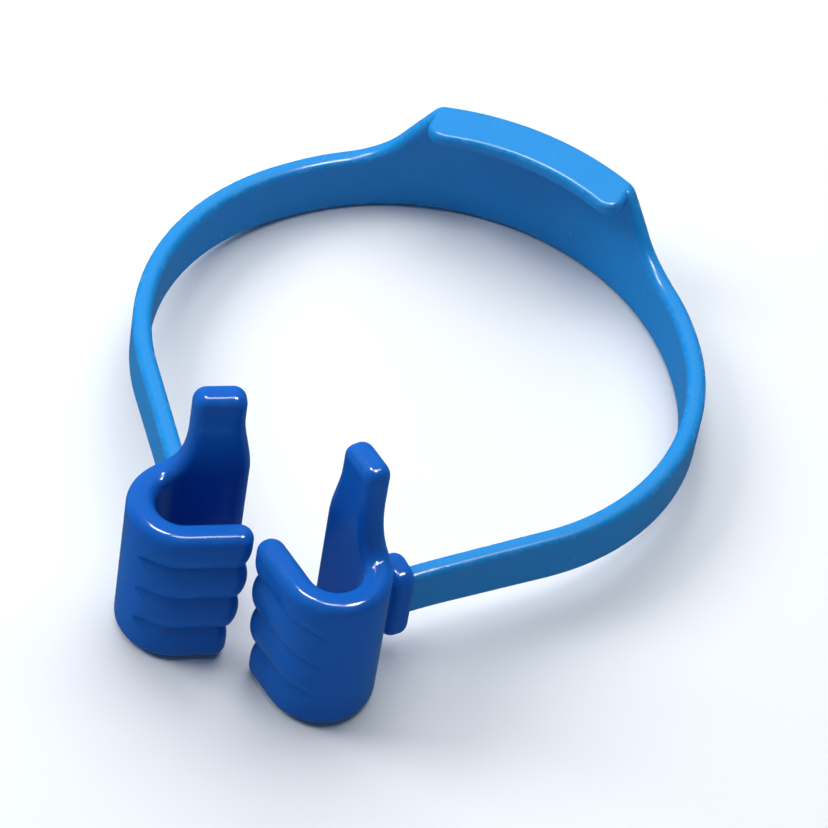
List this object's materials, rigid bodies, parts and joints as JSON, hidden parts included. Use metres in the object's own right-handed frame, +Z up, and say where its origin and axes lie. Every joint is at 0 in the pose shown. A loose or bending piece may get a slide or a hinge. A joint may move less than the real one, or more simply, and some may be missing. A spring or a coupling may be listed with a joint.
{
  "type": "hand-shaped phone stand",
  "caption": "Desk phone stand: a springy round band ends in fists with raised thumbs, each a slot open above and below for a phone's edge; a raised tab with a ledge stands at the back.",
  "frame": {"origin": "middle of the stand's outline on the table it rests on", "axes": "+X across the hands to the right, +Y from the fingers back to the tab, +Z up"},
  "size_m": [0.0952, 0.1194, 0.0454],
  "materials": {
    "band": "glossy light blue moulding",
    "hand": "glossy royal blue moulding"
  },
  "bodies": {
    "root": {"band": "band", "left_hand": "hand", "right_hand": "hand"}
  },
  "joints": []
}
